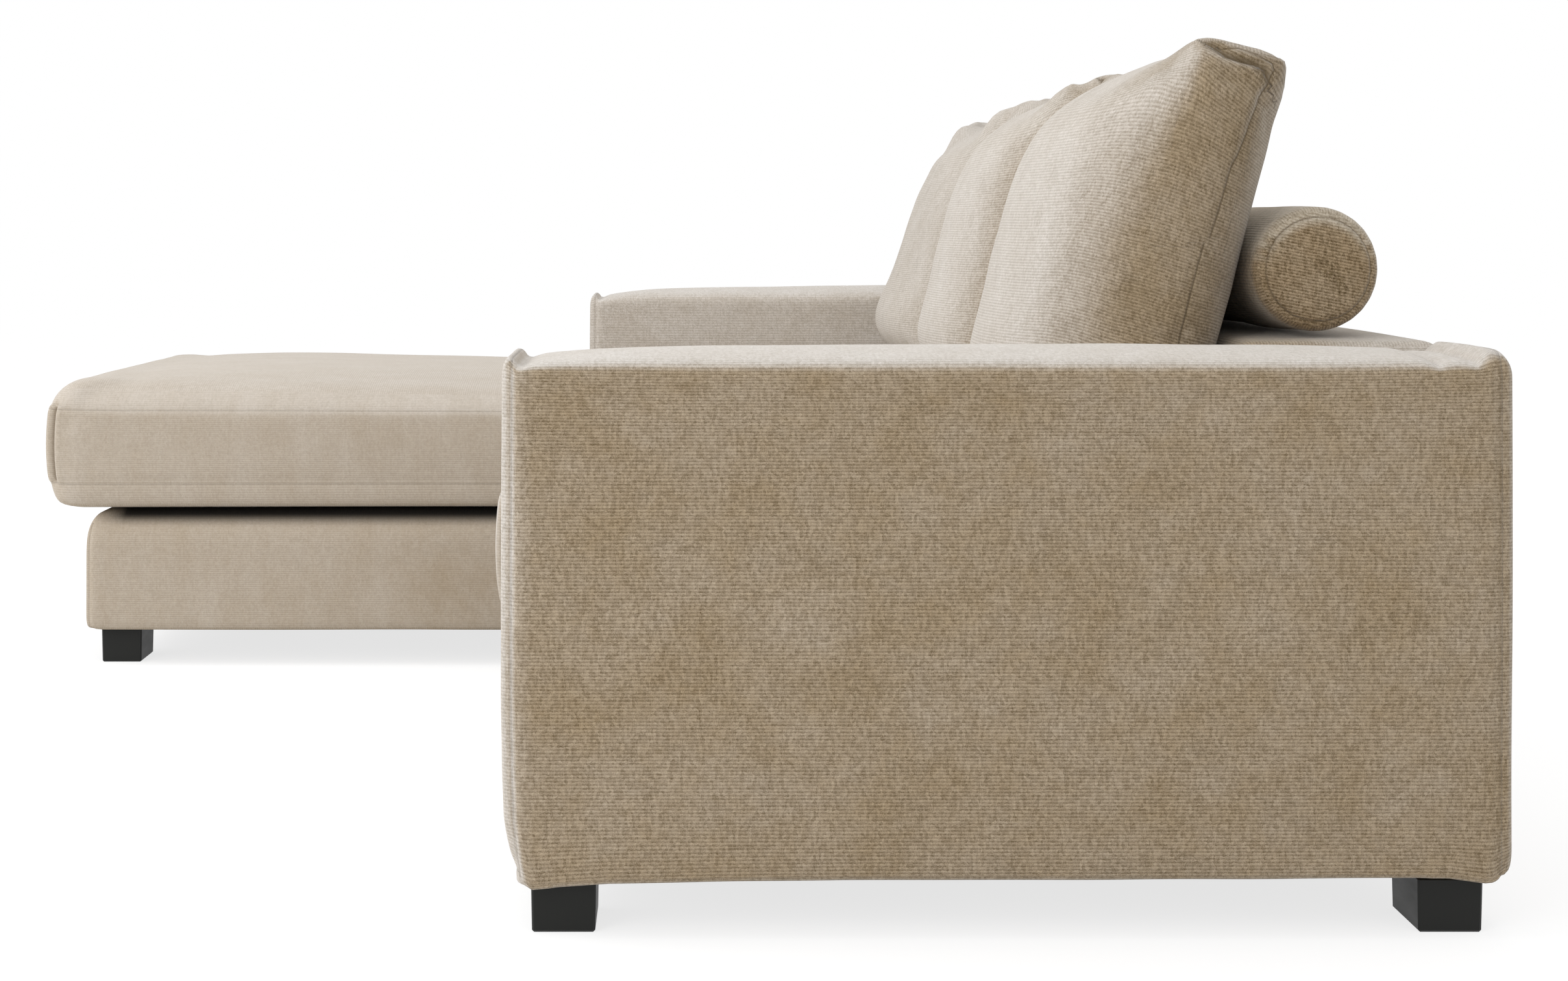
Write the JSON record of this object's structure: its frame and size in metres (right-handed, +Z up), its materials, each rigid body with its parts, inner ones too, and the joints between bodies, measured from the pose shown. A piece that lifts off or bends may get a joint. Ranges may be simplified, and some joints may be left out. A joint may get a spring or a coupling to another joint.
{
  "type": "lounge sofa",
  "caption": "Upholstered lounge sofa with a chaise longue at its left end, loose seat and back cushions, bolsters on the back rail and block feet.",
  "frame": {"origin": "on the floor, under the middle of the sofa's bounding box", "axes": "+X to the right arm (the sitter's left), -Y to the front, towards the chaise's end, +Z up"},
  "size_m": [2.5, 1.77, 0.8717],
  "materials": {
    "cover_fabric": "woven chenille",
    "cushion_fabric": "woven chenille",
    "timber": "planed softwood",
    "stained_wood": "satin stain",
    "spring_steel": "drawn wire",
    "zinc_steel": "zinc plated",
    "felt": "needled felt",
    "dust_cloth": "spunbonded",
    "webbing": "woven elastic"
  },
  "bodies": {
    "frame": {"arm_cover_left": "cover_fabric", "arm_cover_right": "cover_fabric", "arm_frame_left": "timber", "arm_frame_right": "timber", "back_cover_chaise": "cover_fabric", "back_cover_sofa": "cover_fabric", "back_frame_chaise": "timber", "back_frame_sofa": "timber", "back_strap_chaise_1": "webbing", "back_strap_chaise_2": "webbing", "back_strap_sofa_1": "webbing", "back_strap_sofa_2": "webbing", "chaise_base_cover": "cover_fabric", "chaise_clip_strip_a": "zinc_steel", "chaise_clip_strip_b": "zinc_steel", "chaise_deck_pad": "felt", "chaise_frame": "timber", "chaise_spring_1": "spring_steel", "chaise_spring_2": "spring_steel", "chaise_spring_3": "spring_steel", "chaise_spring_4": "spring_steel", "chaise_spring_5": "spring_steel", "connector_socket_back": "zinc_steel", "connector_socket_front": "zinc_steel", "connector_tongue_back": "zinc_steel", "connector_tongue_front": "zinc_steel", "dust_cloth_chaise": "dust_cloth", "dust_cloth_sofa": "dust_cloth", "foot_chaise_back": "stained_wood", "foot_chaise_left": "stained_wood", "foot_chaise_right": "stained_wood", "foot_left_back": "stained_wood", "foot_left_front": "stained_wood", "foot_right_back": "stained_wood", "foot_right_front": "stained_wood", "foot_sofa_back": "stained_wood", "foot_sofa_front": "stained_wood", "seat_base_cover": "cover_fabric", "seat_clip_strip_a": "zinc_steel", "seat_clip_strip_b": "zinc_steel", "seat_deck_pad": "felt", "seat_frame": "timber", "seat_spring_1": "spring_steel", "seat_spring_2": "spring_steel", "seat_spring_3": "spring_steel", "seat_spring_4": "spring_steel", "seat_spring_5": "spring_steel"},
    "seat_cushion_right": {"seat_cushion_right": "cushion_fabric"},
    "back_cushion_right": {"back_cushion_right": "cushion_fabric"},
    "bolster_right": {"bolster_right": "cushion_fabric"},
    "seat_cushion_middle": {"seat_cushion_middle": "cushion_fabric"},
    "back_cushion_middle": {"back_cushion_middle": "cushion_fabric"},
    "bolster_middle": {"bolster_middle": "cushion_fabric"},
    "seat_cushion_chaise": {"seat_cushion_chaise": "cushion_fabric"},
    "back_cushion_chaise": {"back_cushion_chaise": "cushion_fabric"},
    "bolster_chaise": {"bolster_chaise": "cushion_fabric"}
  },
  "joints": [
    {"name": "seat_cushion_right_lift", "type": "slide", "parent": "frame", "child": "seat_cushion_right", "axis": [0, -1, 0], "range_m": [0, 0.76]},
    {"name": "back_cushion_right_lift", "type": "slide", "parent": "frame", "child": "back_cushion_right", "axis": [0, 0, 1], "range_m": [0, 0.45]},
    {"name": "bolster_right_lift", "type": "slide", "parent": "frame", "child": "bolster_right", "axis": [0, 0.5, 0.866], "range_m": [0, 0.4]},
    {"name": "seat_cushion_middle_lift", "type": "slide", "parent": "frame", "child": "seat_cushion_middle", "axis": [0, -1, 0], "range_m": [0, 0.76]},
    {"name": "back_cushion_middle_lift", "type": "slide", "parent": "frame", "child": "back_cushion_middle", "axis": [0, 0, 1], "range_m": [0, 0.45]},
    {"name": "bolster_middle_lift", "type": "slide", "parent": "frame", "child": "bolster_middle", "axis": [0, 0.5, 0.866], "range_m": [0, 0.4]},
    {"name": "seat_cushion_chaise_lift", "type": "slide", "parent": "frame", "child": "seat_cushion_chaise", "axis": [0, -1, 0], "range_m": [0, 1.5]},
    {"name": "back_cushion_chaise_lift", "type": "slide", "parent": "frame", "child": "back_cushion_chaise", "axis": [0, 0, 1], "range_m": [0, 0.45]},
    {"name": "bolster_chaise_lift", "type": "slide", "parent": "frame", "child": "bolster_chaise", "axis": [0, 0.5, 0.866], "range_m": [0, 0.4]}
  ]
}
